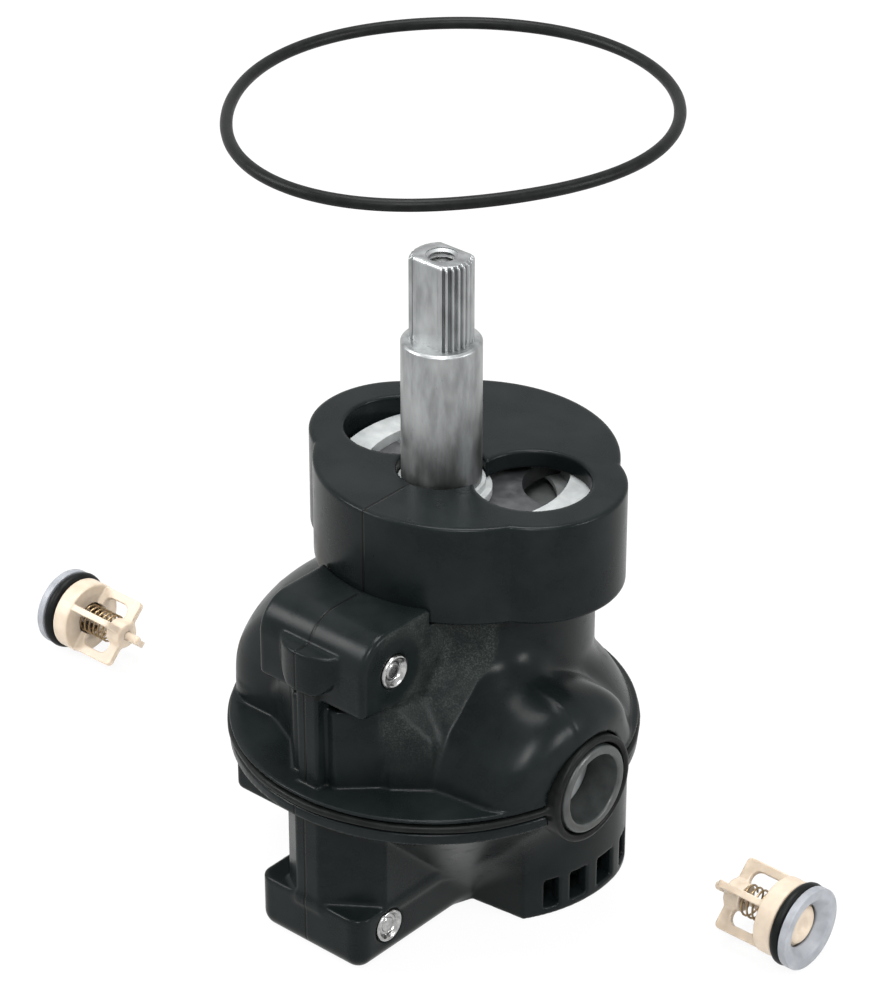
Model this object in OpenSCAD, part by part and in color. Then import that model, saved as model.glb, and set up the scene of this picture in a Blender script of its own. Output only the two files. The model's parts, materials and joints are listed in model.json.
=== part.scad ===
// Pressure balance cartridge for a single-handle shower valve.
// A die-cast stem turns a ceramic disc under the cap, and a spool that slides
// between the two side ports keeps the hot and cold pressures equal.
// Two inlet check valves lie beside the cartridge on the same surface, and the
// large housing ring is held off above the stem, as the kit is laid out.
// Origin: on the base face, below the stem axis. +Z up the stem, +X to the
// right-hand port, -Y to the side with the two pinned blocks.

/* [Stem] */
// Diameter of the smooth shaft
stem_d = 10.3; // [9:0.1:11]
// Height of the shaft shoulder above the cap
shaft_rise = 18.2; // [12:0.2:26]
// Length of the toothed end above the shoulder
spline_len = 11.5; // [8:0.5:16]
// Diameter over the teeth
spline_d = 8.1; // [7:0.1:8.8]
// Number of teeth on a full turn
spline_teeth = 24; // [18:1:30]
// Depth of the tooth gaps
spline_depth = 0.35; // [0.2:0.05:0.5]
// Distance across the two drive flats
flats_across = 6.5; // [5.8:0.1:7]
// Core diameter of the tapped handle screw hole
screw_core_d = 3.3; // [2.5:0.1:4.2]
// Depth of the handle screw hole
screw_depth = 12; // [8:0.5:20]

/* [Cap] */
// Diameter of the cap's main round
cap_d = 39.2; // [38.4:0.2:42]
// Height of the cap
cap_h = 13.9; // [13.4:0.1:18]
// Thickness of the cap's top plate
cap_plate = 2.6; // [2:0.1:3]
// Offset of the cap's centre behind the stem axis
cap_offset = 4.8; // [4:0.1:5.6]
// Diameter of the two outlet holes
outlet_d = 15; // [12:0.1:15.6]
// Distance between the two outlet holes
outlet_pitch = 22; // [20:0.2:23]
// Wall round the outlet holes, at the two lobes
lobe_wall = 4.5; // [3.6:0.1:5]

/* [Housing] */
// Height of the port axis and parting plane above the base
port_h = 24.2; // [22:0.2:28]
// Diameter of the round body at the parting plane
body_d = 53.2; // [52:0.2:56]
// Distance of the body's centre in front of the stem axis
body_offset = 1.5; // [1:0.1:2]
// Height of the neck's top, where the cap sits, above the port axis
neck_rise = 22.5; // [21:0.5:25]
// Diameter of the neck under the cap
neck_d = 33.6; // [33:0.1:34]
// Height of the round shoulder above the port axis
shoulder_rise = 12.2; // [11:0.1:13]
// Radius of the round shoulder's edge
shoulder_r = 7; // [5:0.5:8]
// Width of the two pinned blocks
block_w = 18.4; // [16:0.2:20]
// Distance of the upper block's front face from the stem axis
upper_front = 23.6; // [22.5:0.1:24.6]
// Distance of the lower block's front face from the stem axis
lower_front = 26.5; // [25.5:0.1:27]
// Height of the lower block's full-width foot
foot_h = 8.2; // [7:0.1:10]
// Diameter of the rear lobe of the lower shell
lobe_d = 40; // [38:0.5:41]
// Wall of the two shells
shell_wall = 2; // [1.6:0.1:2.4]

/* [Ports] */
// Bore of the two side ports
port_d = 9.5; // [8:0.1:10]
// Outer diameter of the port liners
liner_d = 12; // [11.4:0.1:12.4]
// Outer diameter of the rubber port rings
port_ring_d = 15.6; // [15:0.1:16]
// Thickness of the rubber band between the shells
band_t = 1.8; // [1.4:0.1:2.2]

/* [Pressure balance] */
// Bore of the balance sleeve
sleeve_bore = 8; // [7:0.1:8.4]
// Outer diameter of the balance sleeve
sleeve_d = 12; // [11.4:0.1:12.4]
// Travel of the spool each way
spool_travel = 2; // [1:0.1:2.5]

/* [Discs] */
// Thickness of the rubber gasket under the discs
gasket_t = 0.8; // [0.6:0.1:1.2]
// Thickness of the fixed ceramic disc
fixed_disc_t = 2.7; // [2:0.1:3]
// Thickness of the turning ceramic disc
turning_disc_t = 2.5; // [2:0.1:3]
// Thickness of the outlet plate
outlet_plate_t = 2.3; // [1.8:0.1:2.5]
// Diameter of the turning disc
turning_disc_d = 22.4; // [20:0.2:22.6]
// Diameter of the water ports through the discs
disc_port_d = 8.4; // [6:0.2:9]

/* [Pins] */
// Diameter of the hollow rivets' heads
rivet_head_d = 4.5; // [4:0.1:5]
// Diameter of the hollow rivets' shanks
rivet_d = 3.2; // [2.8:0.1:3.4]

/* [Check valves] */
// Outer diameter of the check valves' rings
valve_ring_d = 11.5; // [11:0.1:12.2]
// Diameter of the check valves' bodies
valve_body_d = 10.4; // [10:0.1:10.8]
// Length of the guide fins
fin_len = 7.6; // [6.5:0.1:9]
// Diameter of the poppet's head
poppet_d = 6.6; // [5.6:0.1:7]
// Opening travel of the poppet
poppet_travel = 2; // [1:0.1:2.2]

/* [Housing ring] */
// Centre-line diameter of the large ring
ring_d = 54.2; // [53:0.2:60]
// Thickness of the large ring's cord
ring_cord = 1.6; // [1.4:0.1:2]
// Height of the large ring above the stem's end
ring_lift = 19.6; // [12:0.2:30]

/* [Hidden] */
$fn = 64;
// Overlap that keeps cuts and joins clean
eps = 0.02;
// Radial clearance of a running fit
run_gap = 0.05;
// Clearance of a piece that is set in its seat
seat_gap = 0.1;

// Heights, from the base up
band_lo = port_h - band_t / 2;
band_hi = port_h + band_t / 2;
neck_z = port_h + neck_rise;
cap_z = neck_z + cap_h;
plate_z = cap_z - cap_plate;
shoulder_z = cap_z + shaft_rise;
stem_top = shoulder_z + spline_len;
// The disc stack hangs from the cap's plate, and its gasket fills the rest
outlet_hi = plate_z - 1.3;
outlet_lo = outlet_hi - outlet_plate_t;
clip_t = 0.7;
turning_hi = outlet_lo - clip_t - 0.1;
turning_lo = turning_hi - turning_disc_t;
fixed_lo = turning_lo - fixed_disc_t;
seat_z = fixed_lo - gasket_t;

// Radii and places in plan
body_r = body_d / 2;
body_y = -body_offset;
stem_r = stem_d / 2;
// The stem's bearing under the cap is thinner than its shaft
bearing_r = stem_r - 0.5;
clip_groove_r = bearing_r - 0.5;
tang_w = 4;
tang_half = clip_groove_r - 0.6;
cap_bore_r = stem_r + 0.7;
cavity_r = neck_d / 2 + 0.25;
lobe_r = outlet_d / 2 + lobe_wall;
liner_r = liner_d / 2;
bore_r = liner_r + run_gap;
block_x = block_w / 2;
port_ring_r = port_ring_d / 2;
port_face = body_r + 0.3;
liner_in = body_r - 4.6;
sleeve_half = liner_in - 2;
ring_groove_x = sleeve_half - 5;
ring_groove_w = 1.4;
lobe_y = 7.4;
lobe_front = -4;
wing_front = -17.2;
cheek_front = 16.5;
cheek_x = 13;
rib_x = 2.9;
web_x = 3.1;
pin_y = 4.1 - upper_front;
pin_z = port_h + 18.9;
foot_pin_y = 5.6 - lower_front;
foot_pin_z = 5.15;

// Points of an arc from angle a to angle b, with n steps
function arc(x, y, r, a, b, n = 12) =
    [for (i = [0 : n]) [x + r * cos(a + (b - a) * i / n), y + r * sin(a + (b - a) * i / n)]];

module mirrored() {
    children();
    mirror([1, 0, 0]) children();
}

// A cylinder along X from x0 to x1, on the port axis
module along_x(r, x0, x1, y = body_y, z = port_h) {
    translate([x0, y, z]) rotate([0, 90, 0]) cylinder(r = r, h = x1 - x0);
}

// An outline in Y and Z, drawn out along X from -w to w
module block_of(w, points) {
    rotate([90, 0, 90]) translate([0, 0, -w]) linear_extrude(2 * w) polygon(points);
}

// Stem

module spline_outline() {
    r = spline_d / 2;
    intersection() {
        union() {
            circle(r = r - spline_depth);
            for (i = [0 : spline_teeth - 1])
                rotate(i * 360 / spline_teeth)
                    polygon([[0, 0], [r, -r * 0.075], [r, r * 0.075]]);
        }
        square([spline_d + 1, flats_across], center = true);
    }
}

module stem() {
    groove_z = turning_hi + 0.05;
    oring_z = (outlet_lo + outlet_hi) / 2;
    bevel = 0.6;
    color("darkgray") difference() {
        union() {
            translate([0, 0, shoulder_z - eps]) linear_extrude(spline_len + eps - 0.3)
                spline_outline();
            translate([0, 0, stem_top - 0.3]) cylinder(r = spline_d / 2 - 1.1, h = 0.3);
            rotate_extrude() polygon([[0, turning_hi], [clip_groove_r, turning_hi],
                [clip_groove_r, turning_hi + clip_t + 0.1], [bearing_r, turning_hi + clip_t + 0.1],
                [bearing_r, oring_z - 0.65], [stem_r - 0.8, oring_z - 0.65],
                [stem_r - 0.8, oring_z + 0.65], [bearing_r, oring_z + 0.65],
                [bearing_r, cap_z], [stem_r, cap_z + 0.1], [stem_r, shoulder_z - bevel], [stem_r - bevel, shoulder_z], [0, shoulder_z]]);
            // Tang that turns the disc
            translate([-tang_half, -tang_w / 2, turning_lo + 0.4])
                cube([2 * tang_half, tang_w, turning_disc_t]);
        }
        translate([0, 0, stem_top - screw_depth]) cylinder(d = screw_core_d, h = screw_depth + 1);
    }
}

module stem_clip() {
    color("silver") translate([0, 0, turning_hi + 0.05]) difference() {
        cylinder(r = stem_r + 1, h = clip_t);
        translate([0, 0, -eps]) cylinder(r = clip_groove_r + run_gap, h = clip_t + 1);
        translate([-2, -stem_r - 2, -1]) cube([4, stem_r, clip_t + 2]);
    }
}

module stem_oring() {
    color("black") translate([0, 0, (outlet_lo + outlet_hi) / 2])
        rotate_extrude() translate([stem_r - 0.2, 0]) circle(r = 0.55, $fn = 24);
}

module stem_collar() {
    color("white") difference() {
        union() {
            translate([0, 0, outlet_hi]) cylinder(r = stem_r + 1.3, h = plate_z - outlet_hi - seat_gap);
            translate([0, 0, outlet_hi]) cylinder(r = cap_bore_r - seat_gap, h = cap_z - outlet_hi - 0.7);
        }
        translate([0, 0, outlet_hi - 1]) cylinder(r = bearing_r + run_gap, h = cap_h);
    }
}

// Cap and disc stack

module cap_outline() {
    translate([0, cap_offset]) circle(d = cap_d, $fn = 96);
    for (side = [-1, 1]) translate([side * outlet_pitch / 2, cap_offset]) circle(r = lobe_r);
}

module cap() {
    slit = 0.3;
    color([0.13, 0.14, 0.14]) difference() {
        translate([0, 0, neck_z]) linear_extrude(cap_h) cap_outline();
        translate([0, cap_offset, neck_z - 1]) cylinder(r = cavity_r, h = plate_z - neck_z + 1);
        mirrored() translate([outlet_pitch / 2, cap_offset, plate_z - 1])
            cylinder(d = outlet_d, h = cap_plate + 2);
        translate([0, 0, plate_z - 1]) cylinder(r = cap_bore_r, h = cap_plate + 2);
        // Witness of the mould parting, a fine groove from the stem to the front
        translate([-slit / 2, cap_offset - cap_d / 2 - 1, cap_z - slit])
            cube([slit, cap_d / 2 - cap_offset - cap_bore_r + 2, 1]);
        translate([-slit / 2, cap_offset - cap_d / 2 - 1, neck_z - 1])
            cube([slit, 1 + slit, cap_h + 2]);
    }
}

module disc_housing() {
    ring_in = cavity_r - 3.75;
    color("white") translate([0, cap_offset, 0]) difference() {
        translate([0, 0, turning_lo]) cylinder(r = cavity_r - seat_gap, h = plate_z - turning_lo);
        translate([0, 0, turning_lo - 1])
            cylinder(r = cavity_r - 0.7, h = turning_disc_t + 1 + 0.1);
        translate([0, 0, turning_lo]) cylinder(r = ring_in - 1.7, h = plate_z);
        translate([0, 0, outlet_lo]) cylinder(r = ring_in, h = plate_z);
    }
}

module outlet_plate() {
    ring_in = cavity_r - 3.75;
    window_r = 7;
    color([0.62, 0.64, 0.65]) difference() {
        translate([0, cap_offset, outlet_lo]) cylinder(r = ring_in - seat_gap, h = outlet_plate_t);
        mirrored() translate([outlet_pitch / 2 + 0.5, cap_offset + 8.2, outlet_lo - 1])
            cylinder(r = window_r, h = outlet_plate_t + 2);
        translate([0, 0, outlet_lo - 1]) cylinder(r = stem_r + 0.4, h = outlet_plate_t + 2);
    }
}

module turning_disc() {
    color([0.25, 0.26, 0.27]) translate([0, 0, turning_lo]) difference() {
        cylinder(d = turning_disc_d, h = turning_disc_t);
        translate([-tang_half - seat_gap, -tang_w / 2 - seat_gap, 0.3])
            cube([2 * (tang_half + seat_gap), tang_w + 2 * seat_gap, turning_disc_t]);
        // Two curved ports that uncover the fixed disc's ports as the disc turns
        mirrored() for (a = [0 : 12 : 60]) rotate(a)
            translate([turning_disc_d / 2 - 2.8, 0, -1]) cylinder(d = 3.2, h = turning_disc_t + 2, $fn = 24);
    }
}

module disc_ports(z, h) {
    mirrored() translate([outlet_pitch / 2 - 2.4, cap_offset - 0.6, z])
        cylinder(d = disc_port_d, h = h);
}

module fixed_disc() {
    color("gainsboro") difference() {
        translate([0, cap_offset, fixed_lo]) cylinder(r = cavity_r - seat_gap, h = fixed_disc_t);
        disc_ports(fixed_lo - 1, fixed_disc_t + 2);
    }
}

module disc_gasket() {
    color([0.1, 0.1, 0.1]) difference() {
        translate([0, cap_offset, seat_z]) cylinder(r = neck_d / 2 - 0.3, h = gasket_t);
        disc_ports(seat_z - 1, gasket_t + 2);
    }
}

// Housing shells

// Round body: a wall, a rounded shoulder and a flat top, turned about the body's axis
module low_drum(grow = 0) {
    r = body_r + grow;
    s = shoulder_r;
    top = port_h + shoulder_rise + grow;
    translate([0, body_y, 0]) rotate_extrude($fn = 96)
        polygon(concat([[0, port_h], [r, port_h]], arc(r - s, top - s, s, 0, 90), [[0, top]]));
}

// Taller dome on the front left, cut off square at the front
module tall_wing() {
    r = body_r - 0.3;
    core = 4.2;
    rise = neck_z - 3 - port_h - 3.6;
    intersection() {
        translate([0, body_y, 0]) rotate_extrude($fn = 96)
            polygon(concat([[0, port_h], [r, port_h]],
                [for (t = [0 : 6 : 84]) [core + (r - core) * pow(cos(t), 0.88),
                    port_h + 3.6 + rise * pow(sin(t), 0.88)]], [[0, port_h + 3.6 + rise]]));
        rotate([90, 0, -90]) linear_extrude(body_r + 5)
            polygon([[-wing_front, port_h - 1], [-wing_front, neck_z + 5], [4, neck_z + 5],
                [-6, port_h + shoulder_rise - 2], [-6, port_h - 1]]);
    }
}

// Section across the right-hand half: upright at the front, then sloping up to the neck
function arch(grow = 0) = [[-cheek_front - grow, port_h], [-cheek_front - grow, port_h + 4.2],
    [-cheek_front + 1.2 - 0.92 * grow, port_h + 6.8 + 0.4 * grow],
    [-cheek_front + 4 - 0.75 * grow, port_h + 9.6 + 0.66 * grow],
    [-4.4, neck_z - 5.3 + 1.4 * grow], [-2, neck_z - 5.3 + 1.4 * grow], [12, port_h + shoulder_rise],
    [body_r, port_h + shoulder_rise], [body_r, port_h]];

module arch_slice(x, t, grow = 0) {
    translate([x, 0, 0]) rotate([90, 0, 90]) linear_extrude(t) polygon(arch(grow));
}

// Lower dome on the right, cut down towards the front by the arch
module right_dome() {
    s = shoulder_r;
    top = port_h + shoulder_rise;
    intersection() {
        translate([0, body_y, 0]) rotate_extrude($fn = 96)
            polygon(concat([[0, port_h], [body_r, port_h]], arc(body_r - s, top - s, s, 0, 70, 10),
                [[19.2, top + 0.6], [14.3, neck_z - 5.6], [12, neck_z - 4.4], [0, neck_z - 4.4]]));
        arch_slice(block_x - 1, body_r);
    }
}

// Slanting cheek between the block and the right-hand dome
module cheek() {
    hull() {
        arch_slice(cheek_x - eps, eps);
        arch_slice(block_x - 0.4, eps, 3);
    }
}

// Horizontal tunnel over the balance sleeve, with its end under the round shoulder
module tunnel(z_lo, z_hi) {
    intersection() {
        along_x(shoulder_rise, -body_r - 1, body_r + 1);
        low_drum();
        translate([-40, -40, z_lo]) cube([80, 80, z_hi - z_lo]);
    }
}

// Upper block with its rounded top edge, and the prow that runs down to the flange
module upper_block() {
    top = neck_z + 2;
    r = 6.2;
    f = upper_front;
    low = port_h + 14.2;
    block_of(block_x, concat([[-4, low - 6], [-f, low - 0.2], [-f - 1, low]],
        [for (p = arc(f - r, top - r, r, 0, 90, 14)) [-p[0], p[1]]], [[-4, top]]));
    translate([0, 0, port_h]) linear_extrude(low - port_h + eps)
        polygon([[-13.4, wing_front + 0.5], [-9, -20.2], [-4, -24.8], [4, -24.8], [9, -20.2],
            [13.4, wing_front + 0.5], [9, -4], [-9, -4]]);
}

// Half-round lug on the upper block's face, with its rib down to the flange
module lug() {
    top = neck_z - 1.8;
    head_h = 6.4;
    head_r = 5.4;
    depth = 3;
    translate([0, -upper_front + 1, 0]) {
        translate([0, 0, top - head_h]) linear_extrude(head_h) intersection() {
            scale([1, (depth + 1) / head_r]) circle(r = head_r);
            translate([-head_r, -depth - 1]) square([2 * head_r, depth + 1]);
        }
    }
    block_of(rib_x, [[-upper_front + 1, top - 1], [-upper_front - depth, top - 1],
        [-upper_front - depth, port_h + 1], [-20, port_h + 1]]);
}

module shell_parting_cut(lo, hi) {
    // Groove for the rubber band, outside the inner land
    translate([0, body_y, lo]) difference() {
        cylinder(r = body_r + 5, h = hi - lo);
        translate([0, 0, -1]) cylinder(r = body_r - 3, h = hi - lo + 2);
    }
}

module shell_cavities() {
    along_x(bore_r, -body_r - 2, body_r + 2);
    mirrored() {
        along_x(port_ring_r + 0.05, body_r - 3.1, body_r + 5);
    }
}

module upper_shell() {
    passage_x = outlet_pitch / 2 - 2.4;
    color([0.13, 0.14, 0.14]) difference() {
        union() {
            difference() {
                low_drum();
                // The front of the round body is left to the domes, above the flange
                translate([-40, -40, port_h + band_t / 2 + 0.3]) cube([80, 40 + body_y, 40]);
            }
            tunnel(port_h, port_h + 40);
            right_dome();
            intersection() {
                cheek();
                translate([0, body_y, 0]) cylinder(r = body_r - 0.3, h = neck_z);
            }
            tall_wing();
            upper_block();
            lug();
            translate([0, cap_offset, port_h]) cylinder(d = neck_d, h = seat_z - port_h);
        }
        // Nothing is below the parting plane
        translate([-50, -50, -50]) cube([100, 100, 50 + port_h]);
        shell_parting_cut(port_h - 1, band_hi);
        shell_cavities();
        // Seat for the cap's skirt, round the neck
        translate([0, cap_offset, neck_z]) difference() {
            cylinder(r = cap_d / 2 + seat_gap, h = 20);
            translate([0, 0, -1]) cylinder(r = neck_d / 2, h = seat_z - neck_z + 1);
        }
        // Water passages from the sleeve up to the discs
        mirrored() translate([passage_x, cap_offset - 0.6, port_h]) cylinder(r = 3.4, h = 40);
        along_x(rivet_d / 2 + run_gap, -20, 20, pin_y, pin_z);
        mirrored() along_x(rivet_head_d / 2 + 0.1, block_x - 0.25, 20, pin_y, pin_z);
    }
}

module vents() {
    vent_w = 2.7;
    vent_h = 4;
    for (a = [-20 : 13.7 : 22]) translate([0, lobe_y, 1.3]) rotate(a)
        translate([lobe_d / 2 - 4, -vent_w / 2, 0]) cube([8, vent_w, vent_h]);
}

module lobe_plan(inset = 0) {
    intersection() {
        translate([0, lobe_y]) circle(d = lobe_d - 2 * inset, $fn = 96);
        translate([0, body_y]) circle(r = body_r - 0.6 - inset, $fn = 96);
        translate([-30, lobe_front + inset]) square([60, 60]);
    }
}

// Foot, web and side of the lower block
module lower_block() {
    f = lower_front;
    r = 2;
    linear_extrude(foot_h) polygon(concat([[block_x, lobe_front + 1], [-block_x, lobe_front + 1]],
        arc(-block_x + r, -f + r, r, 180, 270, 6), arc(block_x - r, -f + r, r, 270, 360, 6)));
    linear_extrude(port_h) polygon([[web_x, -f], [block_x, -f + block_x - web_x],
        [block_x, lobe_front + 1], [-block_x, lobe_front + 1],
        [-block_x, -f + block_x - web_x], [-web_x, -f]]);
}

// Round belly of the lower shell, narrowing down to the rear lobe
module bowl() {
    r = body_r;
    translate([0, body_y, 0]) rotate_extrude($fn = 96)
        polygon([[0, port_h], [r, port_h], [r, band_lo - 1.4], [r - 0.5, band_lo - 3.6],
            [r - 1.8, band_lo - 6.2], [r - 3.8, band_lo - 8.6], [r - 6.6, band_lo - 10.8],
            [r - 10, band_lo - 12.4], [0, band_lo - 12.4]]);
}

module lower_shell() {
    inset = shell_wall;
    color([0.13, 0.14, 0.14]) difference() {
        union() {
            bowl();
            lower_block();
            linear_extrude(band_lo - 1) lobe_plan();
            // Locating skirt on the front left
            translate([0, 0, port_h - 13.1]) linear_extrude(12) intersection() {
                translate([0, body_y]) circle(r = body_r - 0.4, $fn = 96);
                translate([-30, wing_front]) square([30 - block_x + 1, 12]);
            }
        }
        translate([-50, -50, port_h]) cube([100, 100, 50]);
        shell_parting_cut(band_lo, port_h + 1);
        shell_cavities();
        // Chamber behind the vent windows, open to the sleeve above
        translate([0, 0, 1.2]) linear_extrude(foot_h) intersection() {
            lobe_plan(inset);
            union() {
                translate([-30, 8.5]) square([60, 40]);
                mirrored() translate([10.5, -1.5]) square([30, 30]);
            }
        }
        translate([0, 0, foot_h]) linear_extrude(port_h) intersection() {
            lobe_plan(inset + 0.6);
            translate([-30, 9]) square([60, 40]);
        }
        mirrored() vents();
        along_x(rivet_d / 2 + run_gap, -20, 20, foot_pin_y, foot_pin_z);
        mirrored() along_x(rivet_head_d / 2 + 0.1, block_x - 0.25, 20, foot_pin_y, foot_pin_z);
    }
}

// Rubber band between the shells, with a round lip seal at each port
module body_seal() {
    r = body_r;
    color([0.08, 0.08, 0.08]) difference() {
        union() {
            translate([0, body_y, 0]) rotate_extrude($fn = 96)
                polygon([[r - 3 + seat_gap, band_lo + 0.02], [r + 0.3, band_lo + 0.02],
                    [r + 0.55, port_h - 0.3], [r + 0.55, port_h + 0.3],
                    [r + 0.3, band_hi - 0.02], [r - 3 + seat_gap, band_hi - 0.02]]);
            mirrored() along_x(port_ring_r, body_r - 3, port_face);
        }
        along_x(liner_r + seat_gap, -body_r - 5, body_r + 5);
        mirrored() translate([port_face - 0.5, body_y, port_h]) rotate([0, 90, 0]) difference() {
            cylinder(r = liner_r + 0.75, h = 2);
            translate([0, 0, -1]) cylinder(r = liner_r + 0.2, h = 4);
        }
    }
}

module rivet(y, z) {
    half = block_x + 0.25;
    color("silver") difference() {
        union() {
            along_x(rivet_d / 2, -half, half, y, z);
            mirrored() along_x(rivet_head_d / 2, block_x - 0.25, half, y, z);
        }
        mirrored() along_x(rivet_head_d / 2 - 1, half - 1, half + 1, y, z);
    }
}

module upper_pin() {
    rivet(pin_y, pin_z);
}

module lower_pin() {
    rivet(foot_pin_y, foot_pin_z);
}

// Ports and pressure balance

module port_liner() {
    color([0.12, 0.12, 0.12]) difference() {
        along_x(liner_r, liner_in, port_face + 0.1);
        along_x(port_d / 2, liner_in - 1, port_face + 2);
    }
}

module port_liner_right() {
    port_liner();
}

module port_liner_left() {
    mirror([1, 0, 0]) port_liner();
}

module sleeve_end() {
    inlet_d = 4.4;
    color("white") difference() {
        along_x(liner_r, sleeve_half, liner_in);
        along_x(inlet_d / 2, sleeve_half - 1, liner_in + 1);
    }
}

module sleeve_end_right() {
    sleeve_end();
}

module sleeve_end_left() {
    mirror([1, 0, 0]) sleeve_end();
}

module balance_sleeve() {
    groove_r = sleeve_d / 2 - 0.9;
    slot_w = 3;
    slot_h = 3.2;
    color("silver") difference() {
        along_x(sleeve_d / 2, -sleeve_half, sleeve_half);
        along_x(sleeve_bore / 2, -sleeve_half - 1, sleeve_half + 1);
        // Metering slots over the water passages and in the middle
        for (x = [-outlet_pitch / 2 + 2.4, 0, outlet_pitch / 2 - 2.4])
            translate([x - slot_w / 2, body_y - sleeve_d, port_h - slot_h / 2])
                cube([slot_w, 2 * sleeve_d, slot_h]);
        mirrored() difference() {
            along_x(sleeve_d, ring_groove_x, ring_groove_x + ring_groove_w);
            along_x(groove_r, ring_groove_x - 1, ring_groove_x + ring_groove_w + 1);
        }
    }
}

module sleeve_orings() {
    color("black") mirrored()
        translate([ring_groove_x + ring_groove_w / 2, body_y, port_h]) rotate([0, 90, 0])
        rotate_extrude() translate([sleeve_d / 2 - 0.4, 0]) circle(r = 0.45, $fn = 24);
}

module balance_spool() {
    land_r = sleeve_bore / 2 - run_gap;
    waist_r = land_r - 1.4;
    half = sleeve_half - spool_travel - 1.4;
    end_land = 4;
    mid_land = 4.8;
    color("goldenrod") {
        mirrored() along_x(land_r, half - end_land, half);
        along_x(land_r, -mid_land / 2, mid_land / 2);
        along_x(waist_r, -half + 1, half - 1);
    }
}

module housing_oring() {
    ring_at = [1.1, 0.95];
    color([0.06, 0.06, 0.06]) translate([ring_at[0], ring_at[1], stem_top + ring_lift])
        rotate_extrude($fn = 96) translate([ring_d / 2, 0]) circle(d = ring_cord, $fn = 16);
}

// Check valves, drawn along +X with the seat face at x = 0, then laid on the surface
seat_t = 1.1;
groove_t = 1.7;
collar_t = 2.6;
valve_len = seat_t + groove_t + collar_t + fin_len;
valve_cord = 1.6;
poppet_back = seat_t + 1.9;

module valve_seat() {
    // Pale ring with a funnel down to the seat, and a spigot that carries the rubber ring
    color([0.75, 0.77, 0.8]) rotate([0, 90, 0]) rotate_extrude() polygon([[poppet_d / 2 + 0.6, 0],
        [valve_body_d / 2, 0], [valve_body_d / 2, seat_t],
        [valve_ring_d / 2 - valve_cord - 0.05, seat_t],
        [valve_ring_d / 2 - valve_cord - 0.05, seat_t + groove_t], [poppet_d / 2 + 0.15, seat_t + groove_t],
        [poppet_d / 2 + 0.15, seat_t + 1], [poppet_d / 2 - 0.5, seat_t + 0.9]]);
}

module valve_oring() {
    color([0.1, 0.09, 0.09]) translate([seat_t + groove_t / 2, 0, 0]) rotate([0, 90, 0])
        rotate_extrude() translate([valve_ring_d / 2 - valve_cord / 2, 0])
            circle(d = valve_cord, $fn = 24);
}

module valve_cage() {
    x0 = seat_t + groove_t;
    r = valve_body_d / 2 - 0.5;
    hub_r = 1.5;
    fin_t = 0.9;
    hub_x = valve_len - 1.6;
    window_r = 1.5;
    color([0.88, 0.82, 0.72]) difference() {
        union() {
            // Round collar behind the rubber ring
            translate([x0, 0, 0]) rotate([0, 90, 0]) cylinder(d = valve_body_d, h = collar_t);
            // Four fins, with their ends cut back to the hub
            for (a = [0, 90, 180, 270]) rotate([a, 0, 0]) translate([0, fin_t / 2, 0])
                rotate([90, 0, 0]) linear_extrude(fin_t) polygon([[x0 + 1, 0], [x0 + 1, r], [valve_len, r],
                    [valve_len, r - 1.2], [hub_x, hub_r], [hub_x, 0]]);
            translate([hub_x - 1.2, 0, 0]) rotate([0, 90, 0]) cylinder(r = hub_r + 0.5, h = 1.4);
        }
        // Hollow for the poppet and its spring
        translate([x0 - 1, 0, 0]) rotate([0, 90, 0])
            cylinder(r = poppet_d / 2 + 0.4, h = collar_t + 0.9);
        translate([x0, 0, 0]) rotate([0, 90, 0]) cylinder(r = 2.1, h = hub_x - 1.2 - x0);
        // Window in each fin
        for (a = [0, 90, 180, 270]) rotate([a, 0, 0]) translate([0, 1, 0]) rotate([90, 0, 0])
            linear_extrude(2) polygon(concat([[x0 + collar_t + 0.2, 1], [hub_x - 2, 1]],
                arc(hub_x - 2.4, r - 1 - window_r, window_r, 0, 90, 6),
                [[x0 + collar_t + 0.2, r - 1]]));
        // Guide bore for the poppet's stem
        rotate([0, 90, 0]) cylinder(d = 1.3, h = valve_len + 2);
    }
}

module valve_poppet() {
    r = poppet_d / 2;
    dish = 0.5;
    color([0.93, 0.88, 0.7]) rotate([0, 90, 0]) rotate_extrude() polygon([[0, seat_t + dish + 0.5],
        [0.7, seat_t + dish + 0.35], [1.4, seat_t + dish], [r - 1.1, seat_t + dish - 0.3],
        [r - 0.55, seat_t + 1.15], [r - 0.1, seat_t + 1.4],
        [r - 0.1, poppet_back], [1.1, poppet_back], [1.1, poppet_back + 1.4], [0.6, poppet_back + 1.4],
        [0.6, valve_len + 1.3], [0.4, valve_len + 1.5], [0, valve_len + 1.5]]);
}

// Coil of round wire between the poppet and the hub
module valve_spring() {
    turns = 6;
    x0 = poppet_back + 0.15;
    x1 = valve_len - 1.6 - 1.2 - 0.15;
    wire_r = 0.16;
    coil_r = 1.7;
    steps = 16;
    sides = 6;
    n = turns * steps;
    ring = [for (i = [0 : n], j = [0 : sides - 1])
        let (a = i * 360 / steps, b = j * 360 / sides, q = coil_r + wire_r * cos(b))
            [x0 + wire_r + (x1 - x0 - 2 * wire_r) * i / n + wire_r * sin(b), q * cos(a), q * sin(a)]];
    walls = [for (i = [0 : n - 1], j = [0 : sides - 1])
        [i * sides + j, i * sides + (j + 1) % sides, (i + 1) * sides + (j + 1) % sides,
            (i + 1) * sides + j]];
    first = [for (j = [0 : sides - 1]) sides - 1 - j];
    last = [for (j = [0 : sides - 1]) n * sides + j];
    color([0.55, 0.42, 0.28]) polyhedron(points = ring, faces = concat(walls, [first], [last]));
}

left_valve_at = [-77.6, 5.6, valve_ring_d / 2];
right_valve_at = [51.2, 13.3, valve_ring_d / 2];

module lay_left() {
    translate(left_valve_at) children();
}

module lay_right() {
    translate(right_valve_at) mirror([1, 0, 0]) children();
}

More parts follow.
